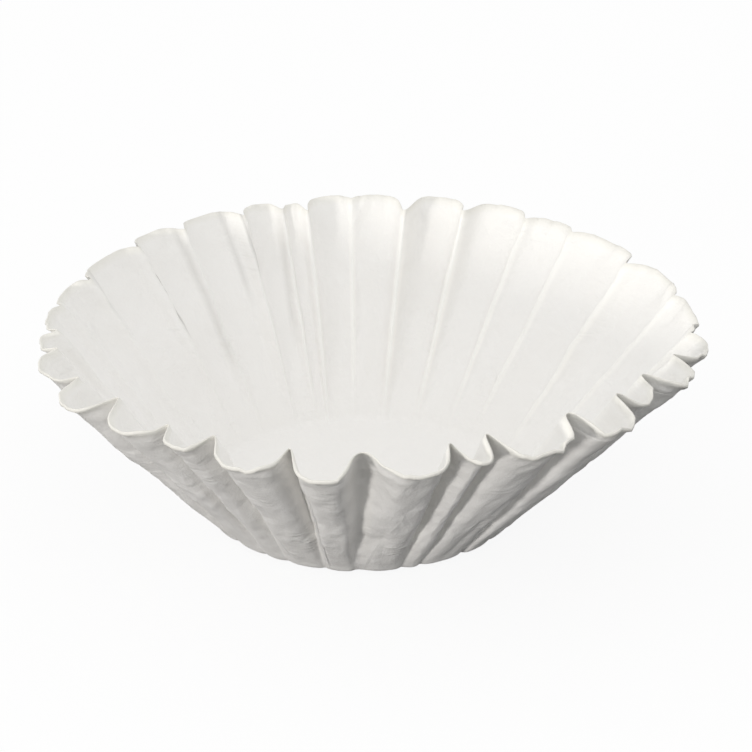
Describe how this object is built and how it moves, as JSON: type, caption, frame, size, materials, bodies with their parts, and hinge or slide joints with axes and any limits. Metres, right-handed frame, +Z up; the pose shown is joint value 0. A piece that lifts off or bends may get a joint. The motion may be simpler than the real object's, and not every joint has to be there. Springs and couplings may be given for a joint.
{
  "type": "paper coffee filter",
  "caption": "White paper basket coffee filter: a flat round base and a flared wall pressed into uneven flutes, open at the top.",
  "frame": {"origin": "middle of the flat base's underside, which stands on the table", "axes": "+Z up out of the open top; -Y towards the viewer of the picture, +X to their right"},
  "size_m": [0.164, 0.1752, 0.0525],
  "materials": {
    "filter_paper": "soft matte creped paper"
  },
  "bodies": {
    "root": {"filter_paper": "filter_paper"}
  },
  "joints": []
}
